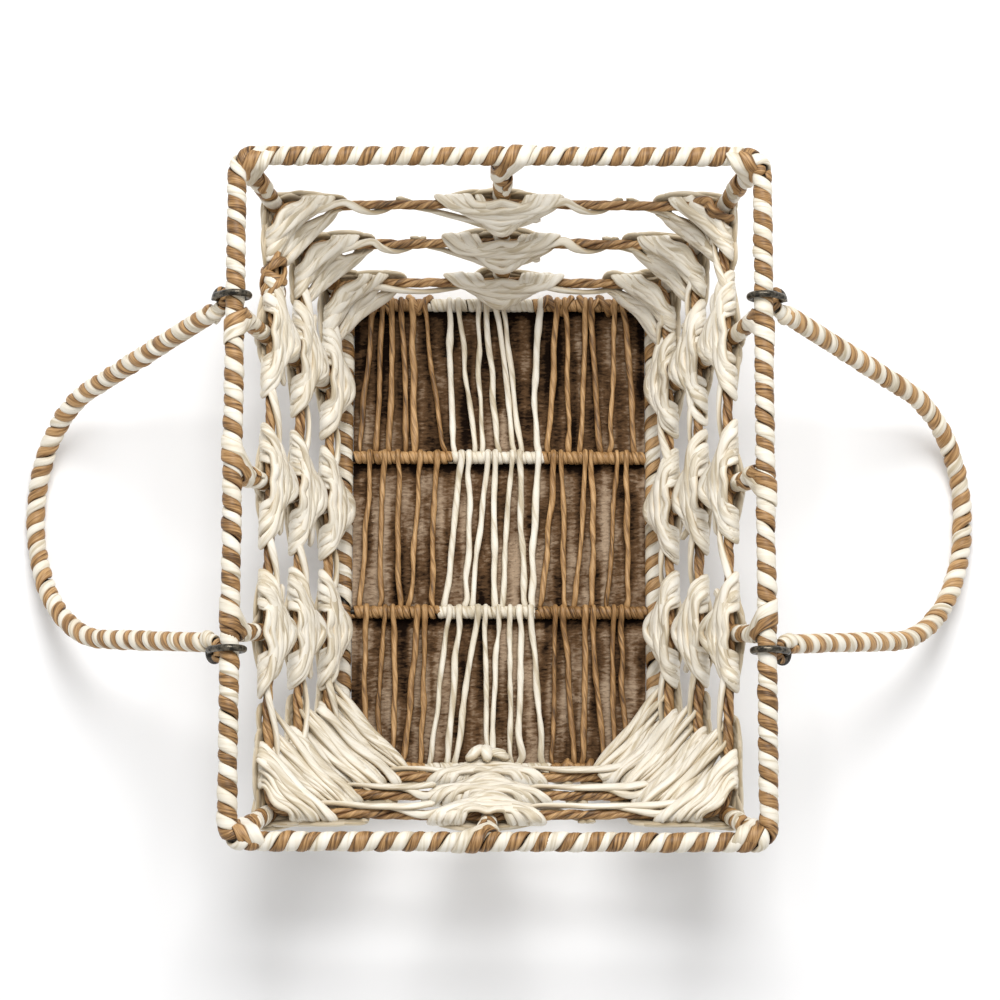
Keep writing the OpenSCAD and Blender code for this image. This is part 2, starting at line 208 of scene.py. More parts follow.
class Weave:
    """Collects strands of one material into one mesh, with their flow, tone and a mask of painted
    shade.
    """

    def __init__(self):
        self.points, self.faces, self.flow, self.tone, self.shade_mask = [], [], [], [], []
        self.count = 0

    def strand(self, centre, out, half_w, half_t, sides=10, square=0.85, lay=14 * MM, plies=0,
               ridge=0.0, closed=False, wobble=0.05):
        """Sweeps a flattened round section along a centre line. out points away from what it lies
        on, lay is the length in which its fibres turn once, and plies and ridge raise twists."""
        centre = np.asarray(centre, float)
        n = len(centre)
        if closed:
            tangent = unit(np.roll(centre, -1, 0) - np.roll(centre, 1, 0))
        else:
            tangent = unit(np.gradient(centre, axis=0))
        across = unit(np.cross(tangent, out))
        up = np.cross(across, tangent)
        s = lengths(centre)
        w = half_w * (1 + smooth_noise(n, SWELL_SPACING, wobble))
        t = half_t * (1 + smooth_noise(n, SWELL_SPACING, wobble))
        if closed:
            w[-1], t[-1] = w[0], t[0]
        else:
            near_end = np.minimum(s, s[-1] - s) / (ROUND_OFF * np.mean(t))
            blunt = np.sqrt(np.clip(near_end * (2 - np.minimum(near_end, 1)), BLUNT, 1))
            w, t = w * blunt, t * blunt
        angle = 2 * pi * np.arange(sides) / sides
        c, sn = np.cos(angle), np.sin(angle)
        cw = np.sign(c) * np.abs(c) ** square
        ct = np.sign(sn) * np.abs(sn) ** square
        spin = 2 * pi * s / lay + rng.uniform(0, 6.28)
        swell = 1 + ridge * np.cos(plies * angle[None] - spin[:, None])
        grid = (centre[:, None] + across[:, None] * (w[:, None] * cw[None] * swell)[..., None]
                + up[:, None] * (t[:, None] * ct[None] * swell)[..., None])
        # Painted shade: a mask that is 0 on a strand's crown, 0.5 on its sides and 1 beneath it,
        # and higher in the valleys between plies.
        valley_shade = (1 - swell) / max(ridge, 1e-6) * (PLY_VALLEY_SHADE if plies else 0)
        self.shade_mask.append(np.clip(0.5 - 0.5 * sn[None] + valley_shade, 0, 1).ravel())
        turn = angle[None] - spin[:, None]
        middle_w = float(np.mean(half_w))
        flow = np.stack([middle_w * np.cos(turn), middle_w * np.sin(turn),
                         np.repeat(s[:, None], sides, 1)], axis=2) + rng.uniform(0, 3, 3)
        i = np.arange(n if closed else n - 1)[:, None]
        k = np.arange(sides)[None]
        row, next_row = self.count + i * sides, self.count + (i + 1) % n * sides
        next_k = (k + 1) % sides
        corners = [row + k, row + next_k, next_row + next_k, next_row + k]
        self.faces.extend(np.stack(corners, axis=2).reshape(-1, 4).tolist())
        if not closed:
            first, last = self.count, self.count + (n - 1) * sides
            self.faces.append([first + j for j in range(sides)][::-1])
            self.faces.append([last + j for j in range(sides)])
        self.points.append(grid.reshape(-1, 3))
        self.flow.append(flow.reshape(-1, 3))
        self.tone.append(np.full(n * sides, rng.uniform(0, 1)))
        self.count += n * sides

    def thread(self, rows, step, half_w, half_t, closed=False, **shape):
        """Sweeps a strand through rows of a point and an outward direction."""
        r = smooth_rows(rows, step, closed)
        self.strand(r[:, :3], unit(r[:, 3:]), half_w, half_t, closed=closed, **shape)

    def press(self, spine, most):
        """Flattens the last strand where it stands further than most from the rod under it."""
        along = unit(np.gradient(spine, axis=0))[:, None]
        offset = self.points[-1].reshape(len(spine), -1, 3) - spine[:, None]
        axial = (offset * along).sum(2, keepdims=True) * along
        radial = offset - axial
        size = np.maximum(np.linalg.norm(radial, axis=2, keepdims=True), 1e-9)
        radial = radial * np.minimum(1, np.broadcast_to(most, len(spine))[:, None, None] / size)
        self.points[-1] = (spine[:, None] + axial + radial).reshape(-1, 3)

    def build(self, name, look, nodes=(), body="basket"):
        """Makes a piece of the strands. look is its material and a slot name, which is not used."""
        mesh = bpy.data.meshes.new(name)
        points = np.vstack(self.points)
        points[:, 2] = np.maximum(points[:, 2], LEAST_HEIGHT)
        mesh.from_pydata(points.tolist(), [], self.faces)
        mesh.polygons.foreach_set("use_smooth", [True] * len(mesh.polygons))
        flow = mesh.attributes.new("flow", "FLOAT_VECTOR", "POINT")
        flow.data.foreach_set("vector", np.vstack(self.flow).ravel())
        give(mesh, "tone", np.concatenate(self.tone))
        give(mesh, "shade_mask", np.concatenate(self.shade_mask))
        place(name, mesh, *look, nodes, body)


def give(mesh, key, values):
    """Writes one number per vertex for the materials to read."""
    mesh.attributes.new(key, "FLOAT", "POINT").data.foreach_set("value", values)


def put(name, data):
    """Puts a mesh, a lamp or a camera in the scene."""
    thing = bpy.data.objects.new(name, data)
    bpy.context.scene.collection.objects.link(thing)
    return thing


def place(name, mesh, material, slot, nodes, body):
    """Makes a piece that stands for CAD nodes and rides on a body."""
    mesh.update()
    mesh.materials.append(material)
    piece = put(name, mesh)
    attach(piece, body)
    if nodes:
        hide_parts(*nodes)
    return piece


# ------------ materials


def srgb(r, g, b):
    """Linear colour of an 8-bit screen colour."""
    def linear(v):
        v = v / 255
        return v / 12.92 if v <= 0.04045 else ((v + 0.055) / 1.055) ** 2.4
    return linear(r), linear(g), linear(b), 1.0


WHITE, BLACK = (1, 1, 1, 1), (0, 0, 0, 1)


class Nodes:
    """Short hand for building one material's node tree."""

    def __init__(self, name):
        self.material = bpy.data.materials.new(name)
        self.material.use_nodes = True
        self.tree = self.material.node_tree
        self.shader = self.tree.nodes["Principled BSDF"]

    def feed(self, socket, value):
        """Links another node's output to a socket, or sets a plain value on it."""
        if isinstance(value, bpy.types.NodeSocket):
            self.tree.links.new(value, socket)
        else:
            socket.default_value = value

    def plug(self, key, value):
        self.feed(self.shader.inputs[key], value)

    def add(self, kind, inputs=(), **settings):
        node = self.tree.nodes.new(kind)
        for key, value in settings.items():
            setattr(node, key, value)
        for key, value in dict(inputs).items():
            self.feed(node.inputs[key], value)
        return node

    def attribute(self, name, output="Fac"):
        return self.add("ShaderNodeAttribute", attribute_name=name).outputs[output]

    def position(self):
        return self.add("ShaderNodeNewGeometry").outputs["Position"]

    def scaled(self, vector, scale):
        """A vector, scaled along its three directions."""
        return self.add("ShaderNodeMapping", {"Vector": vector, "Scale": scale}).outputs["Vector"]

    def noise(self, vector, scale, detail=3.0, roughness=0.55):
        return self.add("ShaderNodeTexNoise", {"Vector": vector, "Scale": scale, "Detail": detail,
                                               "Roughness": roughness}).outputs["Fac"]

    def ramp(self, value, stops):
        node = self.add("ShaderNodeValToRGB", {"Fac": value})
        elements = node.color_ramp.elements
        while len(elements) < len(stops):
            elements.new(0.5)
        for element, (at, colour) in zip(elements, stops):
            element.position = at
            element.color = colour
        return node.outputs["Color"]

    def mix(self, amount, one, two, blend="MIX"):
        """Two colours mixed; the node's sockets 0, 6 and 7 take the amount and the colours."""
        return self.add("ShaderNodeMix", {0: amount, 6: one, 7: two}, data_type="RGBA",
                        blend_type=blend).outputs[2]

    def math(self, operation, one, two):
        return self.add("ShaderNodeMath", {0: one, 1: two}, operation=operation).outputs["Value"]

    def weighted(self, *terms):
        """Sum of values, each times its weight."""
        parts = [self.math("MULTIPLY", value, weight) for value, weight in terms]
        total = parts[0]
        for part in parts[1:]:
            total = self.math("ADD", total, part)
        return total

    def bump(self, height, distance, strength):
        node = self.add("ShaderNodeBump", {"Height": height, "Distance": distance,
                                           "Strength": strength})
        self.plug("Normal", node.outputs["Normal"])


TONE_WEIGHT = 0.12  # how much one strand may differ in tone from the next


def paper_cord(name, light, middle, dark, stain, fold, fine, painted_shade_colour):
    """Twisted paper: long soft fibres, folds along the twist and a slightly uneven dye, with
    painted shade on each cord's sides and underside and in its folds. fold is the number of folds
    per metre across the cord, fine the share of thin fibres, and the last colour is that of the
    painted shade on a cord's sides."""
    m = Nodes(name)
    tone, shade_mask = m.attribute("tone"), m.attribute("shade_mask")
    flow = m.attribute("flow", "Vector")
    fibres = m.noise(m.scaled(flow, (1, 1, 0.07)), 2300.0)
    folds = m.noise(m.scaled(flow, (1, 1, 0.10)), fold, 2.0, 0.45)
    patches = m.noise(m.scaled(flow, (1, 1, 0.5)), 90.0, 2.0)
    blend = m.weighted((folds, 1 - fine), (fibres, fine),
                       (m.math("SUBTRACT", tone, 0.5), TONE_WEIGHT))
    colour = m.ramp(blend, ((0.35, dark), (0.49, middle), (0.63, light)))
    spots = m.ramp(patches, ((0.48, BLACK), (0.76, WHITE)))
    colour = m.mix(m.math("MULTIPLY", spots, 0.45), colour, stain)
    # Painted shade: the cord is darkened on its sides and underside and in its folds, as if in
    # shadow.
    edge = m.math("ADD", shade_mask, m.math("MULTIPLY", m.math("SUBTRACT", folds, 0.5), 0.5))
    darkest_painted_shade = (*[v * 0.6 for v in painted_shade_colour[:3]], 1)
    painted_side_shade = m.ramp(edge, ((0.20, WHITE), (0.50, painted_shade_colour), (0.90, darkest_painted_shade)))
    m.plug("Base Color", m.mix(1.0, colour, painted_side_shade, "MULTIPLY"))
    m.plug("Roughness", m.math("ADD", m.math("MULTIPLY", fibres, 0.3), 0.36))
    m.plug("Specular IOR Level", 0.45)
    m.bump(m.weighted((folds, 0.8), (fibres, 0.2 + 0.3 * fine)), 0.5 * MM, 0.8)
    return m.material


def wire_metal(name, base, edge, roughness):
    """Dark drawn wire with fine scratches along it and worn bright spots."""
    m = Nodes(name)
    place_at = m.position()
    wear = m.noise(place_at, 420.0, 4.0, 0.65)
    fine = m.noise(place_at, 2600.0, 3.0, 0.6)
    m.plug("Base Color", m.ramp(wear, ((0.42, base), (0.66, edge))))
    m.plug("Metallic", 0.9)
    m.plug("Roughness", m.math("ADD", m.math("MULTIPLY", fine, 0.25), roughness))
    m.bump(fine, 0.08 * MM, 0.6)
    return m.material


def pile(name, dark, middle, light):
    """Short brown pile: clumps of fibre brushed one way. The mesh's tone makes raised pile lighter,
    partly pale tips and partly painted highlight, and lays painted shadow by the rods. Painted
    shade darkens the pile towards the rear. level brings the sum of the noises to the middle of the
    ramp."""
    level, rear_shade_from, rear_shade_fall = 0.385, 0.035, 1.9
    m = Nodes(name)
    place_at = m.position()
    clumps = m.noise(place_at, 30.0, 3.0, 0.6)
    rows = m.noise(m.scaled(place_at, (1, 0.09, 1)), 150.0, 2.0, 0.4)
    tufts = m.noise(m.scaled(place_at, (0.35, 1, 1)), 900.0, 3.0, 0.6)
    # The mesh's tone: pale tips and painted highlight on raised pile, painted shadow beside the
    # crossbars and the rear rod.
    tip_light_and_shadow = m.math("SUBTRACT", m.attribute("tone"), 0.5)
    blend = m.weighted((clumps, 0.7), (rows, 0.75), (tufts, 0.36), (tip_light_and_shadow, TONE_WEIGHT))
    blend = m.math("SUBTRACT", blend, level)
    # Painted shade: the pile is darkened towards the rear, as in the shadow of the far wall.
    rear = m.add("ShaderNodeSeparateXYZ", {"Vector": place_at}).outputs["Y"]
    behind = m.math("MINIMUM", m.math("SUBTRACT", rear_shade_from, rear), 0.0)
    blend = m.math("ADD", blend, m.math("MULTIPLY", behind, rear_shade_fall))
    m.plug("Base Color", m.ramp(blend, ((0.30, dark), (0.50, middle), (0.72, light))))
    m.plug("Roughness", 0.95)
    m.plug("Specular IOR Level", 0.12)
    m.bump(tufts, 0.7 * MM, 0.9)
    return m.material


# Materials, each with a slot name
CREAM = paper_cord("cream_paper_cord", srgb(240, 234, 221), srgb(231, 223, 206),
                   srgb(194, 180, 153), srgb(218, 204, 176), fold=440.0, fine=0.2,
                   painted_shade_colour=srgb(229, 219, 202)), "cream_cord"
BROWN = paper_cord("brown_paper_cord", srgb(202, 162, 112), srgb(156, 117, 71),
                   srgb(76, 50, 22), srgb(132, 94, 52), fold=760.0, fine=0.4,
                   painted_shade_colour=srgb(150, 128, 100)), "brown_cord"
ROPE = paper_cord("brown_rope", srgb(204, 165, 114), srgb(156, 118, 73),
                  srgb(62, 40, 17), srgb(122, 86, 46), fold=700.0, fine=0.4,
                  painted_shade_colour=srgb(184, 164, 138)), "brown_rope"
WIRE = wire_metal("iron_wire", srgb(44, 42, 39), srgb(92, 86, 78), 0.38)
RING = wire_metal("ring_wire", srgb(46, 44, 41), srgb(120, 112, 98), 0.22)
MAT = pile("brown_pile", srgb(22, 10, 3), srgb(100, 74, 50), srgb(176, 153, 128)), "brown_fibre"


def dress(material, *nodes):
    """Gives CAD nodes that stay visible their material."""
    for node in nodes:
        slots = frame["nodes"][node].data.materials
        slots.clear()
        slots.append(material)


dress(WIRE, "rim_wire", "base_wire", "rear_crossbar_wire", "front_crossbar_wire",
      "corner_post_wires", "side_post_wires", "end_post_wires", "left_handle_wire",
      "right_handle_wire")
dress(RING, "left_rear_ring", "left_front_ring", "right_rear_ring", "right_front_ring")

# ------------ wrapped rods

LEAD = 12.6 * MM  # length of rod that one turn of a brown and a cream cord takes up
LEFT_HAND, RIGHT_HAND = -1, 1
TIGHT, LOOSE = 0.05, 1.5  # how far cords may bulge past their radius, in millimetres


def wound(path, plane_normal, r_in, r_out, lead, hand, phase, stray=None, step=1.3 * MM):
    """Centre line and outward direction of a flat cord wound along a rod, and the rod's own line.
    stray is the uneven part of its turning, in radians, at even distances along the rod."""
    r = (r_in + r_out) / 2
    total = lengths(path)[-1]
    slope = hypot(1, 2 * pi * r / lead)
    at = np.linspace(0, total, int(total * slope / step) + 1)
    spine = sample(path, at)
    tangent = unit(np.gradient(spine, axis=0))
    one = unit(np.broadcast_to(plane_normal, tangent.shape)
               - tangent * (tangent @ plane_normal)[:, None])
    two = np.cross(tangent, one)
    angle = phase + hand * 2 * pi * at / lead
    if stray is not None:
        angle = angle + np.interp(at, np.linspace(0, total, len(stray)), stray)
    radial = one * np.cos(angle)[:, None] + two * np.sin(angle)[:, None]
    lift = 1 + smooth_noise(len(at), 9, 0.045)
    return spine + radial * (r * lift)[:, None], radial, spine


def wrap(brown, cream, path, plane_normal, r_in, r_out, hand, phase, tight, lead, closer):
    """Winds one brown and one cream cord side by side along a rod, with uneven pitch and widths.
    tight says where on the rod they may not bulge, because something moves past them; closer
    packs the turns at both ends of the rod, by so many radians."""
    total = lengths(path)[-1]
    turns = max(round(total / lead), 1)
    lead = total / turns
    r = (r_in + r_out) / 2
    width = lead / 4 * cos(atan2(lead, 2 * pi * r)) * 1.1
    ease = np.sin(np.linspace(0, pi, max(turns * 8, 16))) ** 0.2
    knots = len(ease)
    stray = smooth_noise(knots, 6, 0.33)
    stray = (stray - stray[0]) * ease + hand * closer * np.sin(np.linspace(0, 2 * pi, knots))
    share = smooth_noise(knots, 7, 0.13) * ease
    for weave, start, sign in ((brown, phase, 1), (cream, phase + pi, -1)):
        centre, out, spine = wound(path, plane_normal, r_in, r_out, lead, hand, start, stray)
        at = np.linspace(0, 1, len(centre))
        wider = 1 + sign * np.interp(at, np.linspace(0, 1, knots), share)
        weave.strand(centre, out, width * wider, (r_out - r_in) / 2 * 1.2, square=1.0,
                     lay=60 * MM, wobble=0.08)
        if tight:
            weave.press(spine, r_out + np.where(tight(spine), TIGHT, LOOSE) * MM)


def wrapped_piece(name, node, rods, tight=None, body="basket", lead=LEAD, closer=0.0):
    """A brown and a cream mesh for rods given as (path, plane normal, r_in, r_out, hand, phase)."""
    brown, cream = Weave(), Weave()
    for rod in rods:
        wrap(brown, cream, *rod, tight, lead, closer)
    brown.build(name + "_brown", BROWN, [node], body)
    cream.build(name + "_cream", CREAM, [node], body)


def under_ring(points):
    """Whether points of the rim lie under a handle ring."""
    return np.abs(np.abs(points[:, 1] - SIDE_SHIFT) - RING_SPAN) < 4 * MM


rim = rounded_loop(RIM_X, RIM_Y, RIM_Z, RIM_BEND)
wrapped_piece("rim_wrap_cords", "rim_wrap", [(rim, UP, RIM_WIRE_R, RIM_R, LEFT_HAND, 0.4)],
              under_ring)


def base_side(side):
    """Long base rod with its two corner bends."""
    loop = []
    for end, angles in ((-1, range(80, -1, -10)), (1, range(0, 81, 10))):
        centre = np.array([BASE_X - BASE_BEND, end * (BASE_Y - BASE_BEND)])
        for turn in angles:
            a = radians(turn)
            loop.append([side * (centre[0] + BASE_BEND * cos(a)),
                         centre[1] + end * BASE_BEND * sin(a), BASE_Z])
    return resample(loop, ROD_STEP)


wrapped_piece("base_wrap_cords", "base_wrap",
              [(base_side(-1), UP, BASE_WIRE_R, BASE_R, LEFT_HAND, 0.0),
               (base_side(1), UP, BASE_WIRE_R, BASE_R, RIGHT_HAND, 0.9)])

# ------------ posts

INSET = 1 - 1 / sqrt(2)  # how far a round corner cuts the square one, in bend radii


def post(x, y, base_x, base_y):
    """Top and bottom of a post."""
    return np.array([x, y, RIM_Z]), np.array([base_x, base_y, BASE_Z])


def corner_post(sx, sy):
    rim, base = RIM_BEND * INSET, BASE_BEND * INSET
    return post(sx * (RIM_X - rim), sy * (RIM_Y - rim), sx * (BASE_X - base), sy * (BASE_Y - base))


def side_post(sx, step):
    """The post so many steps behind the middle one of a side."""
    return post(sx * RIM_X, SIDE_SHIFT + step * SIDE_SPAN_TOP,
                sx * BASE_X, SIDE_SHIFT + step * SIDE_SPAN_BOTTOM)


def end_post(sy):
    return post(END_POST_X[sy], sy * RIM_Y, END_POST_X[sy], sy * BASE_Y)


# Every post in its order round the basket: name, top and bottom, whether it stands at a corner
POSTS = [(name, ends, name.endswith("corner")) for name, ends in (
    ("rear_left_corner", corner_post(-1, 1)), ("rear_middle", end_post(1)),
    ("rear_right_corner", corner_post(1, 1)), ("right_rear", side_post(1, 1)),
    ("right_middle", side_post(1, 0)), ("right_front", side_post(1, -1)),
    ("front_right_corner", corner_post(1, -1)), ("front_middle", end_post(-1)),
    ("front_left_corner", corner_post(-1, -1)), ("left_front", side_post(-1, -1)),
    ("left_middle", side_post(-1, 0)), ("left_rear", side_post(-1, 1)))]
BESIDE_HANDLE = ("right_rear", "right_front", "left_front", "left_rear")


def everywhere(points):
    return np.ones(len(points), bool)


for index, (name, (top, bottom), corner) in enumerate(POSTS):
    along = unit(bottom - top)
    start = top + along * RIM_R * (0.85 if corner else 0.7)
    path = resample([start, bottom - along * BASE_R * 0.7], ROD_STEP)
    wrapped_piece(name + "_post_cords", name + ("_wrap" if corner else "_post_wrap"),
                  [(path, UP, POST_WIRE_R, POST_R, LEFT_HAND, index)],
                  everywhere if name in BESIDE_HANDLE else None)


def level_in(top):
    """Level direction into the basket from the wall that a post's top stands in."""
    if abs(top[0]) / RIM_X > abs(top[1]) / RIM_Y:
        return np.array([-np.sign(top[0]), 0, 0])
    return np.array([0, -np.sign(top[1]), 0])


def square_to(axis, direction):
    """The direction with its part along an axis taken out."""
    return unit(direction - axis * (direction @ axis))


# Steps of a band over the rim rod (turn in degrees, place along it in millimetres) and then round
# the post (turn, distance down it)
OVER_RIM = ((-100, 9), (-55, 7.4), (-10, 5.6), (35, 3.8), (80, 1.8))
ROUND_POST = ((25, 8.5), (100, 12.5), (180, 16), (270, 20), (350, 23.5))
BAND_SHIFT = 6.4 * MM


def collar(top, bottom, corner, flat, brown, cream):
    """Two broad bands that leave the rim winding and spiral down the head of a post; flat ones lie
    close, on the side away from the handle ring."""
    axis = unit(top - bottom)
    inward = level_in(top)
    into = square_to(axis, inward)
    ahead, sideways = np.cross(UP, inward), np.cross(axis, into)
    if corner and ahead[0] * top[0] > 0 or flat and ahead[1] * (top[1] - SIDE_SHIFT) > 0:
        ahead, sideways = -ahead, -sideways
    proud, thick = (-0.25 * MM, 0.5 * MM) if flat else (0.65 * MM, 0.8 * MM)
    rim_r, post_r = RIM_R + 0.5 * MM, POST_R + proud
    for weave, shift in ((brown, 0), (cream, BAND_SHIFT)):
        rows = []
        for turn, along in OVER_RIM:
            a = radians(turn)
            out = UP * cos(a) + inward * sin(a)
            rows.append(np.concatenate([top + out * rim_r + ahead * (along * MM + shift), out]))
        for turn, down in ROUND_POST:
            a = radians(turn)
            out = into * cos(a) - sideways * sin(a)
            here = top - axis * (down * MM + 0.7 * shift) + out * post_r
            rows.append(np.concatenate([here, out]))
        weave.thread(rows, 1.4 * MM, 3.1 * MM, thick, square=0.8, lay=90 * MM, wobble=0.03)


bands = Weave(), Weave()
for name, (top, bottom), corner in POSTS:
    collar(top, bottom, corner, name in BESIDE_HANDLE, *bands)
bands[0].build("post_bands_brown", BROWN)
bands[1].build("post_bands_cream", CREAM)

# ------------ rope tiers and lashings

RISE = RIM_Z - BASE_Z
SIDE_UP = unit(np.array([RIM_X - BASE_X, 0, RISE]))
END_UP = unit(np.array([0, RIM_Y - BASE_Y, RISE]))
TIER_STEP = 1 * MM
TIER_BEND = 12 * MM  # how far from a corner post a rope starts to turn
TIER_INSET = 2.2 * MM  # how far inside the posts' axes a rope runs


def wall_up(point, z):
    """Direction up the nearest wall; it turns smoothly past a corner."""
    share = (z - BASE_Z) / RISE
    near_x = BASE_X + (RIM_X - BASE_X) * share - abs(point[0])
    near_y = BASE_Y + (RIM_Y - BASE_Y) * share - abs(point[1])
    pull = 1 / (1 + exp(-(near_y - near_x) / (3 * MM)))
    side = SIDE_UP * [copysign(1, point[0]), 1, 1]
    end = END_UP * [1, copysign(1, point[1]), 1]
    return unit(side * pull + end * (1 - pull))


def facing(index):
    """Direction from a post into the basket, square to the post."""
    _, (top, bottom), corner = POSTS[index]
    into = -np.sign(top) * [1, 1, 0] if corner else level_in(top)
    return square_to(unit(top - bottom), into)


class Tier:
    """Closed path of one rope round the basket, with directions up the wall and into the basket."""

    def __init__(self, z):
        share = (z - BASE_Z) / RISE
        self.crossings = [bottom + (top - bottom) * share for _, (top, bottom), _ in POSTS]
        crossings = [c + TIER_INSET * facing(i) for i, c in enumerate(self.crossings)]
        points = []
        for i, here in enumerate(crossings):
            before, after = crossings[i - 1], crossings[(i + 1) % len(crossings)]
            if POSTS[i][2]:
                enter = here + unit(before - here) * TIER_BEND
                leave = here + unit(after - here) * TIER_BEND
                t = np.linspace(0, 1, 9)[:, None]
                points.extend((1 - t) ** 2 * enter + 2 * t * (1 - t) * here + t**2 * leave)
            else:
                points.append(here)
        points.append(points[0])
        points = np.array(points)
        self.path = resample(points, TIER_STEP)[:-1]
        self.length = lengths(points)[-1]
        self.up = np.array([wall_up(p, z) for p in self.path])
        ahead = unit(np.roll(self.path, -1, 0) - np.roll(self.path, 1, 0))
        self.inward = unit(np.cross(self.up, ahead))
        if np.dot(self.inward[0], -self.path[0]) < 0:
            self.inward = -self.inward
        nearest = [np.argmin(np.linalg.norm(self.path - c, axis=1)) for c in crossings]
        self.posts = [float(index) * self.length / len(self.path) for index in nearest]

    def at(self, a, b, c):
        """Points a along the rope, b up the wall and c into the basket."""
        where = (a / self.length * len(self.path)) % len(self.path)
        i = where.astype(int)
        j = (i + 1) % len(self.path)
        f = (where - i)[:, None]
        mixed = [x[i] * (1 - f) + x[j] * f for x in (self.path, self.up, self.inward)]
        return mixed[0] + mixed[1] * b[:, None] + mixed[2] * c[:, None]


PLY_R = 1.5 * MM
PLY_OFFSET = 1.25 * MM
PLY_LAY = 34 * MM


def rope(tier, node):
    """Three brown plies laid together with a long twist."""
    weave = Weave()
    count = int(tier.length / (1.4 * MM))
    a = np.linspace(0, tier.length, count, endpoint=False)
    angle = 2 * pi * round(tier.length / PLY_LAY) * a / tier.length
    for ply in range(3):
        loose = PLY_OFFSET * (1 + smooth_noise(count, 16, 0.14))
        turn = angle + ply * 2 * pi / 3 + smooth_noise(count, 22, 0.25)
        centre = tier.at(a, loose * np.sin(turn), loose * np.cos(turn))
        out = unit(centre - tier.at(a, 0 * a, 0 * a))
        weave.strand(centre, out, PLY_R * 1.08, PLY_R * 0.92, square=0.95, lay=26 * MM, plies=4,
                     ridge=0.035, closed=True)
    weave.build(node + "_plies", ROPE, [node])


STRAND_W = 2.45 * MM
STRAND_T = 1.4 * MM


class Spot:
    """One crossing of a rope and a post, with points beside the rope and points on the post."""

    def __init__(self, tier, index):
        _, (top, bottom), self.corner = POSTS[index]
        self.tier = tier
        self.station = tier.posts[index]
        self.here = tier.crossings[index]
        self.axis = unit(top - bottom)
        self.into = facing(index)

    def rows(self, places):
        """Rows beside the rope. A place is along the rope, up the wall and into the basket in
        millimetres, then the outward direction's parts up the wall and into the basket."""
        a, b, c, out_b, out_c = np.array([*places], float).T * MM
        here = self.tier.at(self.station + a, b, c)
        ahead = self.tier.at(self.station + a, b + out_b, c + out_c)
        return list(np.hstack([here, unit(ahead - here)]))

    def across(self, b, c):
        """A row b up the post and c off its surface, in millimetres; it lies behind for c < 0."""
        out = self.into * copysign(1, c)
        return np.concatenate([self.here + self.axis * b * MM + out * (POST_R + abs(c) * MM), out])


def between(one, two, share, push=0.0):
    """A row part of the way from one to two, pushed outward by so many millimetres."""
    row = one * (1 - share) + two * share
    row[3:] = unit(row[3:])
    row[:3] += row[3:] * push * MM
    return row


def lay_strand(weave, rows, width, closed=False):
    """A flat cream strand through the rows."""
    weave.thread(rows, 1.7 * MM, STRAND_W * width * rng.uniform(0.86, 1.12), STRAND_T, closed,
                 sides=9, square=0.8, lay=rng.uniform(45, 90) * MM, wobble=0.07)


def fan(spot, low):
    """The strands of a lashing from the top, each as its height on the post and its reach along the
    rope in millimetres, the side of the rope it goes over, and how straight it bridges a corner."""
    if not spot.corner:
        count, top, lowest = 11, 7, -14 if low else -17
        k = np.arange(count)
        reach = np.where(k < 3, 13 + 5 * k, 29 - 12 * (k - 3) / (count - 4))
        return zip(top + (lowest - top) * k / (count - 1), reach, [1] * count, [0] * count)
    rear = spot.here[1] > 0
    count, near, far, drop = (12, 13, 31, -19) if rear else (14, 12, 46, -10)
    k = np.arange(count)
    share = k / (count - 1)
    height = (6 if low else 7) + (drop - 7) * share * (0.85 if low else 1)
    taut = np.where(rear & (k >= 5), 0.4, 0.85)
    return zip(height, near + (far - near) * share, np.where(k < 8, 1, -1), taut)


HOOK = 4.0  # how high over the rope a strand turns round it, in millimetres


def lashing(weave, spot, low):
    """A hank of cream loops that fans over the post: upper loops slant over the rope at both ends,
    lower ones come from under it. At a corner they bridge from one wall to the next."""
    strands = list(fan(spot, low))
    for k, (mid, reach, up, taut) in enumerate(strands):
        mid = mid + rng.normal(0, 0.7)
        hook = HOOK * up * rng.uniform(0.95, 1.3)
        lean = rng.normal(0, 0.06)
        behind = spot.across(rng.uniform(-9, 1), -rng.uniform(0.8, 2.6))
        centre = spot.across(mid, rng.uniform(0.8, 2.6) + 3.0 * k / (len(strands) - 1))
        half = []
        for side in (-1, 1):
            a = side * reach * rng.uniform(0.88, 1.12)
            half.append(spot.rows([  # the front, the tip, the end, the turn and the back
                (a * 0.74, hook * 0.85 + lean * a + (mid - hook) * 0.22, 4.1, 0.4 * up, 0.9),
                (a * 0.92, hook * 1.06 + lean * a, 0.8, up, 0.4 + taut),
                (a, hook * 0.55, -3.2, 0.6 * up, -0.8),
                (a * 0.86, -0.5 * hook + rng.uniform(-1.5, 1.5), -4.4, -0.2 * up, -1),
                (a * 0.42, rng.uniform(-8, 3), -rng.uniform(4.2, 6.2), 0, -1)]))
        left, right = half
        if taut:
            bridge = between(left[1], right[1], 0.5 + rng.uniform(-0.06, 0.06), 1.2)
            bridge[:3] += spot.axis * mid * 0.5 * MM
            centre = between(centre, bridge, taut)
            centre[3:] = unit(spot.into + 0.7 * UP)
            for one in half:
                one[0] = between(one[1], centre, 0.36)
                one[0][3:] = unit(one[0][3:] * [1, 1, 0.2] + spot.into + 0.5 * UP)
                one[0][:3] += one[0][3:] * rng.uniform(0.3, 1.1) * MM
        else:
            for one in half:
                inner = between(one[0], centre, 0.56, rng.uniform(0.5, 1.3))
                inner[:3] += spot.axis * (mid - hook) * 0.12 * MM
                one.insert(0, inner)
        lay_strand(weave, [behind, *left[::-1], centre, *right], 1.15 if spot.corner else 1.05,
                   closed=True)


LONG_GAP = 90  # millimetres between posts from which strands end on the way


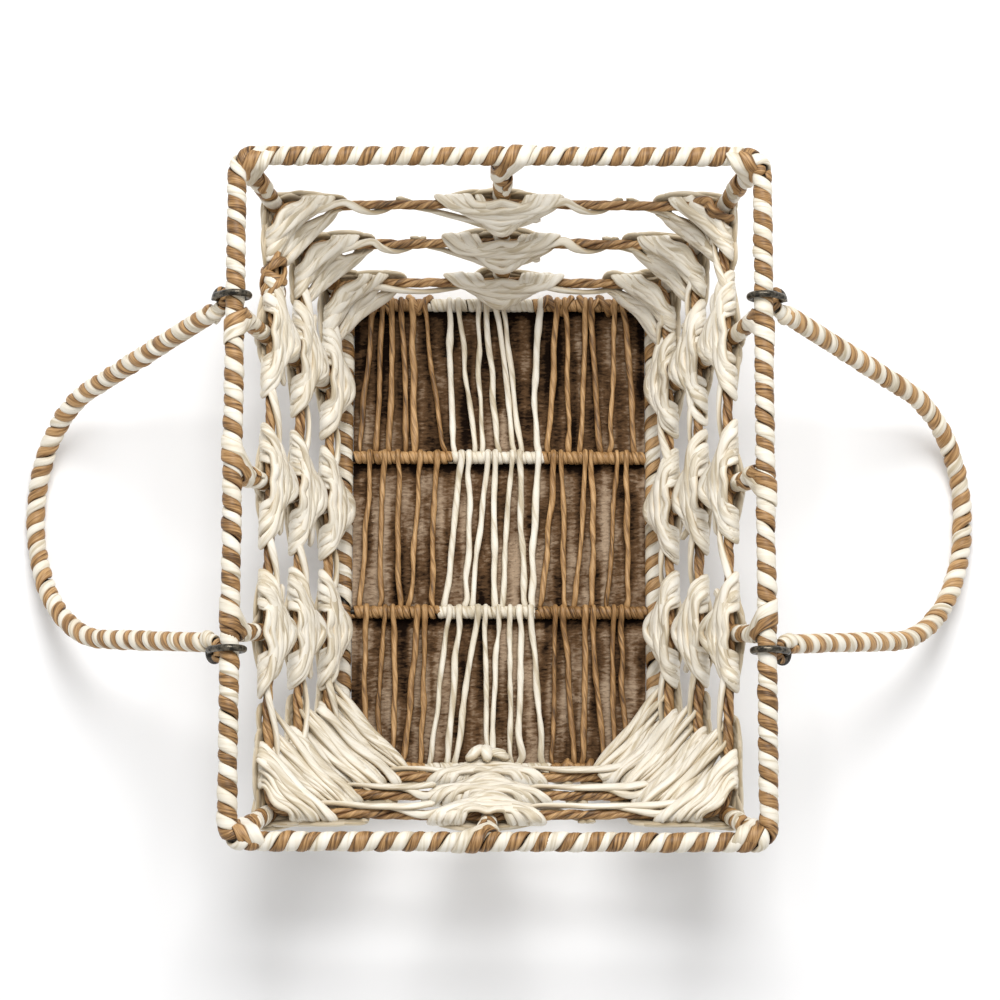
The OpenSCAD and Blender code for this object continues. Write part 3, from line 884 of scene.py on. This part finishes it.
def runner(weave, spot, after, low):
    """Cream strands that leave one lashing, follow the rope and slip into the next one."""
    g = (after.station - spot.station) % spot.tier.length / MM
    if g > LONG_GAP:
        reach = g * rng.uniform(0.40, 0.5)
        lay_strand(weave, spot.rows([
            (8, -3, 4.4, 0, 1), (20, 2.4, 3.8, 0.6, 0.8), (32, 3.9, 1.0, 1, 0.2),
            (reach * 0.85, 1.6, 3.6, 0.4, 0.9), (reach, -2.6, 2.8, -0.7, 0.7),
            (reach + 9, -3.4, -1.6, -0.8, -0.6), (reach + 16, 0.5, -3.8, 0.2, -1)]), 0.85)
        if spot.here[1] < 0 and after.here[1] < 0:
            start, rise = rng.uniform(30, 40), rng.uniform(-1, 1)
            lay_strand(weave, spot.rows([
                (start - 12, 1, 6.5, 0.3, 1), (start, 3.0 + rise, 5.2, 0.5, 0.9),
                (g * 0.55, 1.0 + rise, 4.4, 0.2, 1), (g * 0.68, -2.4, 4.2, -0.3, 1),
                (g - 22, -3.6, 3.2, -0.6, 0.8), (g - 12, -2, -3.6, -0.2, -1)]), 0.9)
        reach = g * rng.uniform(0.36, 0.44)
        dip = -9 if low else -13
        lay_strand(weave, after.rows([
            (-reach - 6, 2.0, -3.0, 0.5, -0.8), (-reach, -2.8, -2.8, -0.8, -0.5),
            (-reach * 0.72, -5.4, 0.6, -0.5, 0.8), (-reach * 0.38, 0.72 * dip, 3.2, -0.1, 1),
            (-4, dip, 5.4, 0, 1), (12, dip * 0.8, 4.4, 0, 1), (24, -4, 1, -0.8, 0.4),
            (28, -1, -3, 0, -1)]), 0.85)
    else:
        hang = rng.choice((-1, 1))
        lay_strand(weave, spot.rows([
            (6, 3 * hang, 4.4, 0, 1), (18, 3.2 * hang, 3.6, 0.5 * hang, 0.8),
            (g * 0.40, -1, 4.1, 0, 1), (g * 0.58, -3.6 * hang, 2.8, -0.7 * hang, 0.7),
            (g - 18, -3.4 * hang, -1.8, -0.8 * hang, -0.6), (g - 9, 0, -5, 0, -1)]), 0.85)


def tail(weave, spot):
    """A cut end that hangs out of a lashing."""
    side = rng.choice((-1, 1))
    far = side * rng.uniform(17, 26)
    lay_strand(weave, spot.rows([
        (side * 4, rng.uniform(-6, -2), 5.6, 0, 1), (side * 11, rng.uniform(-6, -2), 5.0, 0, 1),
        (far * 0.8, rng.uniform(-9, -5), 3.4, 0, 1),
        (far, rng.uniform(-14, -8), rng.uniform(1, 4), 0, 1)]), 0.9)


tiers = [Tier(middle(node, 2)) for node in TIER_NODES]
for tier, node in zip(tiers, TIER_NODES):
    rope(tier, node)
for index, (name, _, _) in enumerate(POSTS):
    hanks = Weave()
    for tier in tiers:
        low = tier is tiers[2]
        spot, after = Spot(tier, index), Spot(tier, (index + 1) % len(POSTS))
        lashing(hanks, spot, low)
        runner(hanks, spot, after, low)
        if not low:
            tail(hanks, spot)
    hanks.build(name + "_hanks", CREAM, [name + "_lashing"])

# ------------ knots


def knots():
    """Splice on the left upper rope, loops at the rear right corner, knot at the front middle."""
    brown, cream = Weave(), Weave()
    step, shape = 1.3 * MM, dict(lay=22 * MM, plies=3, ridge=0.06)
    spot = Spot(tiers[0], 0)
    for a, slant, r in ((-31, 3.5, 5.0), (-35, -3.0, 5.4), (-40, 3.5, 5.0), (-45, -2.5, 4.4)):
        rows = spot.rows([(a + slant * cos(t), r * sin(t), r * cos(t), sin(t), cos(t))
                          for t in map(radians, range(0, 360, 45))])
        brown.thread(rows, step, 2.3 * MM, 1.6 * MM, closed=True, **shape)
    k = np.arange(9)
    swell = 3.0 + 3.0 * np.sin(pi * k / 8)
    for turn in (0.4, 2.6, 4.6):
        up, into = np.sin(turn + 0.55 * k), np.cos(turn + 0.55 * k)
        rows = spot.rows(zip(-22 - 4.0 * k, swell * up, swell * into, up, into))
        brown.thread(rows, step, 1.7 * MM, 1.3 * MM, **shape)

    spot = Spot(tiers[0], 2)
    for rise, far in ((0, -19), (2.6, -17), (4.6, -14)):
        rows = spot.rows([(x, y + rise, z, 0.5, 0.8) for x, y, z in (
            (far - 3, -1.5, -3), (far, 1.5, 1.5), (far * 0.7, 5.5, 2.5), (far * 0.35, 8, 3.5),
            (-1, 8, 6.5), (5, 6, 3), (6, 4, -3))])
        brown.thread(rows, step, 1.9 * MM, 1.6 * MM, **shape)

    spot = Spot(tiers[2], 7)
    for places in (((-9, -6, 8), (-8, -4, 11), (-4, -6, 12), (-1, -10, 10)),
                   ((0, -3, 8), (1, -3, 12), (1.5, -8, 13.5), (1, -13, 11)),
                   ((10, -6, 8), (9, -3, 11), (6, -6, 13), (3, -11, 12), (2, -14, 8))):
        rows = spot.rows([(*place, 0.3, 1) for place in places])
        cream.thread(rows, 1.2 * MM, 3.0 * MM, 2.5 * MM, square=1.0, **shape)
    brown.build("brown_knots", ROPE)
    cream.build("cream_knot", CREAM)


knots()

# ------------ base cords

CORD_R = 1.55 * MM
COIL_R = 3.5 * MM
COIL_LEAD = 3.3 * MM
# The four cross rods from the rear: place, wire radius, and where the cream turns start and end
RODS = [(BASE_Y, BASE_WIRE_R, -39 * MM, 19 * MM), (BAR_Y, BAR_WIRE_R, -26 * MM, 23 * MM),
        (-BAR_Y, BAR_WIRE_R, -32 * MM, 20 * MM), (-BASE_Y, BASE_WIRE_R, -39 * MM, 27 * MM)]


def coil(weave, y, wire_r, x_from, x_to):
    """Close turns of flattened cord round a cross rod."""
    turns = max(round((x_to - x_from) / COIL_LEAD), 1)
    path = resample([[x_from, y, BASE_Z], [x_to, y, BASE_Z]], ROD_STEP)
    lead = (x_to - x_from) / turns
    stray = smooth_noise(turns * 4, 5, 0.5)
    centre, out, _ = wound(path, UP, wire_r, COIL_R, lead, 1, rng.uniform(0, 6), stray - stray[0])
    weave.strand(centre, out, lead / 2 * 1.1, (COIL_R - wire_r) / 2 * 1.1, square=0.9, lay=30 * MM)


def round_rod(y, turn, r):
    """Offsets in y and z of a point on a circle round a cross rod; turn 0 faces the rear."""
    t = radians(turn)
    return [y + r * cos(t), BASE_Z + r * sin(t)]


def bay_cord(weave, bay, x_far, x_near, width):
    """One cord of a bay: out of the winding, over the far rod, across the bay and into the next."""
    y_far, y_near = RODS[bay][0], RODS[bay + 1][0]
    over = COIL_R + 0.75 * CORD_R
    rows = [[x_far, *round_rod(y_far, turn, r)]
            for turn, r in ((-10, COIL_R - 0.8 * CORD_R), (32, over - 0.8 * CORD_R), (75, over),
                            (118, over))]
    bend, kink = rng.normal(0, 0.8 * MM), smooth_noise(6, 1.2, 0.45 * MM)
    for share, stray in zip((0.12, 0.28, 0.45, 0.62, 0.78, 0.91), kink):
        bow = sin(pi * share)
        rows.append([x_far + (x_near - x_far) * share + bend * bow + stray,
                     y_far - (y_far - y_near) * share, BASE_Z + 1.7 * MM - 0.6 * MM * bow])
    rows.append([x_near, *round_rod(y_near, 14, COIL_R + 0.2 * CORD_R)])
    rows.append([x_near, *round_rod(y_near, -5, COIL_R - 0.9 * CORD_R)])
    weave.strand(curve_through(rows, 1.3 * MM), UP, CORD_R * width, CORD_R * 0.92, square=0.92,
                 lay=rng.uniform(30, 55) * MM, plies=2, ridge=0.045, wobble=0.1)


# Places of the cords along the far and near rods of each bay, in millimetres
BAYS = {
    "rear": {
        "left": [(-68, -75), (-63, -66), (-58, -59), (-53, -50), (-47, -45), (-40, -29)],
        "cream": [(-27, -24), (-22, -13), (-11, -9), (-7, 0), (-2, 8), (2, 12), (22, 21)],
        "right": [(31, 26), (35, 37), (46, 43), (49, 54), (62, 59), (66, 72)]},
    "middle": {
        "left": [(-69, -74), (-61, -63), (-54, -52), (-42, -48), (-33, -35)],
        "cream": [(-20, -29), (-16, -18), (-6, -14), (-2, -2), (7, 2), (11, 14), (21, 18)],
        "right": [(29, 22), (33, 35), (46, 40), (49, 49), (63, 57), (68, 68)]},
    "front": {
        "left": [(-70, -70), (-60, -62), (-56, -55), (-43, -51), (-39, -41)],
        "cream": [(-26, -36), (-21, -27), (-11, -23), (-7, -6), (0, -3), (6, 7), (11, 11),
                  (17, 23)],
        "right": [(30, 28), (34, 40), (46, 44), (50, 57), (61, 61), (65, 69)]},
}
for bay, (label, parts) in enumerate(BAYS.items()):
    for part, places in parts.items():
        weave = Weave()
        for far, near in places:
            bay_cord(weave, bay, far * MM, near * MM, rng.uniform(0.85, 1.15))
        node = f"{label}_cords_{part}"
        weave.build(node + "_laid", CREAM if part == "cream" else BROWN, [node])

for label, rods in (("end", (0, 3)), ("crossbar", (1, 2))):
    cream, brown = Weave(), Weave()
    edge = BASE_X - (BASE_BEND if label == "end" else BASE_R)
    for rod in rods:
        y, wire_r, cream_from, cream_to = RODS[rod]
        coil(cream, y, wire_r, cream_from, cream_to)
        coil(brown, y, wire_r, -edge, cream_from)
        coil(brown, y, wire_r, cream_to, edge)
    cream.build(label + "_coils_cream", CREAM, [label + "_winding_cream"])
    brown.build(label + "_coils_brown", BROWN, [label + "_winding_brown"])

# Turns that tie cords to the rear and front rods: place along the rod and slant, in millimetres
ROD_LOOPS = ((0, ((-65, 3), (-61, -2), (-46, -3), (-41, 4), (24, 3), (28, -3), (36, 3), (45, -2),
                  (51, 4), (56, -3), (62, 2))),
             (3, ((-66, 3), (-61, -3), (-56, 3), (34, 3), (39, -3), (47, 2))))


def rod_loops():
    """Loose turns that tie the brown cords to the front and rear rods."""
    weave = Weave()
    for rod, loops in ROD_LOOPS:
        y = RODS[rod][0]
        for x, slant in loops:
            r = COIL_R + rng.uniform(0.7, 1.1) * MM
            rows = [[(x + slant * cos(radians(turn))) * MM, *round_rod(y, turn, r)]
                    for turn in range(-24, 205, 25)]
            path = curve_through(rows, 1.2 * MM)
            weave.strand(path, unit(path - [x * MM, y, BASE_Z]), 1.8 * MM, 1.3 * MM, lay=24 * MM,
                         plies=2, ridge=0.05, wobble=0.1)
    weave.build("rod_loops", BROWN)


rod_loops()

# ------------ fibre mat

TUFT_PITCH = 0.9 * MM
TUFT_HEIGHT = 0.5 * MM
COLUMN_TUFTS = (3, 30)  # tufts in one brushed column, across and along the basket
COLUMN_HEIGHT = 1.6 * MM
MAT_OVERHANG = 1.3 * MM  # how far the mat goes on under the end rods
MAT_UNDERSIDE = 0.1 * MM


def blurred(field, axis, count):
    """The field averaged with its neighbours along an axis, so many times."""
    for _ in range(count):
        field = (np.roll(field, 1, axis) + field + np.roll(field, -1, axis)) / 3
    return field


def fibre_mat():
    """Thin pile mat: a closed slab with a top of small uneven tufts in columns, which dips under
    the crossbars and the end rods. Its tone drops in a painted shadow in front of each crossbar and
    beside the rear rod."""
    nx = int((MAT_HIGH[0] - MAT_LOW[0]) / TUFT_PITCH)
    ny = int((MAT_HIGH[1] - MAT_LOW[1]) / TUFT_PITCH)
    y_end = MAT_HIGH[1] + MAT_OVERHANG
    gx, gy = np.meshgrid(np.linspace(MAT_LOW[0], MAT_HIGH[0], nx), np.linspace(-y_end, y_end, ny),
                         indexing="ij")
    tuft = blurred(rng.uniform(0, 1, (nx, ny)), 0, 2)
    tuft = np.clip(0.5 + (tuft - 0.5) * 2.2, 0, 1)
    wide, long = COLUMN_TUFTS
    column = rng.uniform(0, 1, (nx // wide + 2, ny // long + 2))
    column = np.kron(column, np.ones(COLUMN_TUFTS))[:nx, :ny]
    column = blurred(blurred(column, 0, 2), 1, long)
    top = MAT_HIGH[2] - 1.1 * MM + TUFT_HEIGHT * tuft + COLUMN_HEIGHT * (column - 0.5)
    # Tone rises with the tuft and column heights: partly pale tips, partly painted highlight on the
    # raised pile.
    tone = tuft + 1.2 * (column - 0.5)
    for bar in (BAR_Y, -BAR_Y):
        dip = 0.35 * MM + np.maximum(np.abs(gy - bar) - 2.5 * MM, 0) * 1.2
        top = np.minimum(top, dip)
        # Painted shadow of the crossbar on the pile in front of it.
        tone -= 2.2 * np.clip(1 - np.abs(gy - bar + 4 * MM) / (6 * MM), 0, 1)
    top = np.minimum(top, 0.9 * MM + (y_end - np.abs(gy)) * 0.5)
    # Painted shadow on the pile beside the rear end rod.
    tone -= 2.0 * np.clip(1 - (y_end - gy) / (5 * MM), 0, 1)
    gx = gx + rng.normal(0, 0.25 * MM, gx.shape)
    gy = gy + rng.normal(0, 0.25 * MM, gy.shape)
    gx[0], gx[-1], gy[:, 0], gy[:, -1] = MAT_LOW[0], MAT_HIGH[0], -y_end, y_end
    upper = np.stack([gx, gy, np.maximum(top, 0.3 * MM)], axis=2).reshape(-1, 3)
    lower = upper * [1, 1, 0] + [0, 0, MAT_UNDERSIDE]
    index = np.arange(nx * ny).reshape(nx, ny)
    a, b, c, d = index[:-1, :-1], index[1:, :-1], index[1:, 1:], index[:-1, 1:]
    faces = np.stack([a, b, c, d], axis=2).reshape(-1, 4)
    under = faces[:, ::-1] + nx * ny
    rim = np.concatenate([index[:-1, 0], index[-1, :-1], index[:0:-1, -1], index[0, :0:-1]])
    after = np.roll(rim, -1)
    skirt = np.stack([rim + nx * ny, after + nx * ny, after, rim], axis=1)
    mesh = bpy.data.meshes.new("fibre_mat")
    mesh.from_pydata(np.vstack([upper, lower]).tolist(), [],
                     np.vstack([faces, under, skirt]).tolist())
    give(mesh, "tone", np.concatenate([tone.ravel(), np.zeros(nx * ny)]))
    piece = place("fibre_mat", mesh, *MAT, ["base_mat"], "basket")


fibre_mat()

# ------------ handles

HANDLE_LEAD = 11.6 * MM
HANDLE_CLOSER = 2.4
NEAR_POSTS = 62 * MM  # how far from the rim rod a hanging handle passes close to the posts
FLOOR_GAP = 0.3 * MM
EYE_TURN = radians(255)
EYE_STEP = 0.6 * MM


def arc(centre, radius, start, finish):
    count = max(int(abs(finish - start) * radius / (1.5 * MM)), 6)
    t = np.linspace(start, finish, count)
    return np.array(centre) + radius * np.stack([np.cos(t), np.sin(t)], axis=1)


def handle_half(end, lean, bend):
    """Half of the handle in its own plane: its eye, the start of its stripes and the middle of its
    bend. end is -1 for the front and 1 for the rear."""
    eye = np.array([EYE_U, end * RING_SPAN])
    start = eye + EYE_BEND * np.array([-sin(lean), -end * cos(lean)])
    u = HANDLE_REACH - bend
    v = start[1] - end * (bend + (u - start[0]) * sin(lean)) / cos(lean)
    return eye, start + np.array([cos(lean), -end * sin(lean)]) * BARE_LEG, (u, v)


def handle_outline():
    """Stations of the handle in its own plane: front eye, striped rod and rear eye."""
    front_eye, front, front_middle = handle_half(-1, FRONT_LEAN, FRONT_BEND)
    rear_eye, rear, rear_middle = handle_half(1, REAR_LEAN, REAR_BEND)
    half = pi / 2
    front_end, rear_end = half + FRONT_LEAN, 3 * half - REAR_LEAN
    rod = np.vstack([[front], arc(front_middle, FRONT_BEND, FRONT_LEAN - half, 0),
                     arc(rear_middle, REAR_BEND, 0, half - REAR_LEAN), [rear]])
    return (arc(front_eye, EYE_BEND, front_end + EYE_TURN, front_end), rod,
            arc(rear_eye, EYE_BEND, rear_end, rear_end - EYE_TURN))


def handle(side, name):
    """Striped cords along a handle and plain ones round the eyes at its ends."""
    joint = next(j for j in frame["joints"] if j["child"] == name)
    pivot = np.array(joint["pos_m"])
    drop = asin((RIM_Z - HANDLE_R - FLOOR_GAP) / HANDLE_REACH)
    u = np.array([side * cos(drop), 0, -sin(drop)])
    v = np.array([0.0, 1.0, 0.0])
    normal = np.array([side * sin(drop), 0, cos(drop)])
    front_eye, rod, rear_eye = [pivot + points[:, :1] * u + points[:, 1:] * v
                                for points in handle_outline()]

    def near_posts(points):
        """Whether points of the handle come close to a post when it hangs down."""
        return (points - pivot) @ u < NEAR_POSTS

    rods = [(resample(rod, ROD_STEP), normal, HANDLE_WIRE_R, HANDLE_R, RIGHT_HAND, 0.3)]
    wrapped_piece(name + "_cords", name + "_wrap", rods, near_posts, name, HANDLE_LEAD,
                  HANDLE_CLOSER)
    cover, ends = Weave(), Weave()
    for eye in (front_eye[::-1], rear_eye):
        loop = resample(eye, EYE_STEP)
        centre, out, spine = wound(loop[:int(0.62 * len(loop))], normal, HANDLE_WIRE_R * 0.9,
                                   HANDLE_WIRE_R + 0.6 * MM, 2.6 * MM, RIGHT_HAND, 0.0,
                                   step=0.9 * MM)
        cover.strand(centre, out, 1.5 * MM, 0.55 * MM, sides=8, lay=30 * MM)
        cover.press(spine, HANDLE_WIRE_R + 0.7 * MM)
        outward = (loop[0] - loop[1]) / EYE_STEP
        leg = np.array([loop[0] + outward * k * MM for k in range(9, -1, -1)])
        centre, out, spine = wound(leg, normal, HANDLE_WIRE_R * 0.9, HANDLE_R * 0.96, 4.4 * MM,
                                   RIGHT_HAND, 2.0, step=0.9 * MM)
        ends.strand(centre, out, 2.3 * MM, 1.5 * MM, lay=40 * MM)
        away = np.linalg.norm(spine - loop[0], axis=1)
        ends.press(spine, np.interp(away, (0, BARE_LEG),
                                    (HANDLE_WIRE_R + 0.8 * MM, HANDLE_R - 0.3 * MM)))
    cover.build(name + "_eye_cover", BROWN, body=name)
    ends.build(name + "_end_turns", CREAM, body=name)


handle(-1, "left_handle")
handle(1, "right_handle")

# ------------ floor, light and camera

FLOOR_HALF = 4.0
SKY_STRENGTH = 0.64
KEY_PLACE = np.array([0.10, 0.85, 1.6])
KEY_TARGET = np.array([0, 0, 0.05])
KEY_SIZE = 0.85
KEY_POWER = 26
VIEW_DISTANCE = 6.45 * 2 * RIM_X
VIEW_TARGET = np.array([0.005 * 2 * RIM_X, -0.013 * 2 * RIM_X, RIM_Z])
VIEW_TILT = radians(9.56)
VIEW_ROLL = radians(0.15)
VIEW_LENS = 123.95
SENSOR_WIDTH = 36
FARTHEST_SEEN = 20


def floor():
    m = Nodes("pale_floor")
    m.plug("Base Color", (0.93, 0.93, 0.935, 1))
    m.plug("Roughness", 0.9)
    m.plug("Specular IOR Level", 0.1)
    mesh = bpy.data.meshes.new("floor")
    corners = [(x * FLOOR_HALF, y * FLOOR_HALF, 0) for x, y in ((-1, -1), (1, -1), (1, 1), (-1, 1))]
    mesh.from_pydata(corners, [], [(0, 1, 2, 3)])
    mesh.materials.append(m.material)
    put("floor", mesh)


def studio():
    """Even white surroundings and one large soft light behind the basket."""
    bpy.context.scene.view_settings.view_transform = "Standard"
    world = bpy.data.worlds.new("studio")
    bpy.context.scene.world = world
    world.use_nodes = True
    background = world.node_tree.nodes["Background"]
    background.inputs["Color"].default_value = WHITE
    background.inputs["Strength"].default_value = SKY_STRENGTH
    lamp = bpy.data.lights.new("key", "AREA")
    lamp.shape = "SQUARE"
    lamp.size = KEY_SIZE
    lamp.energy = KEY_POWER
    key = put("key", lamp)
    key.location = KEY_PLACE
    aim = KEY_TARGET - np.array(key.location)
    yaw = atan2(aim[1], aim[0])
    key.rotation_euler = (acos(-aim[2] / np.linalg.norm(aim)), 0, yaw - pi / 2)


def camera():
    """Camera almost straight above, a little towards the front."""
    data = bpy.data.cameras.new("camera")
    data.lens = VIEW_LENS
    data.sensor_width = SENSOR_WIDTH
    data.clip_end = FARTHEST_SEEN
    obj = put("camera", data)
    forward = np.array([0, sin(VIEW_TILT), -cos(VIEW_TILT)])
    obj.location = VIEW_TARGET - VIEW_DISTANCE * forward
    obj.rotation_euler = (VIEW_TILT, 0, VIEW_ROLL)
    bpy.context.scene.camera = obj


floor()
studio()
camera()
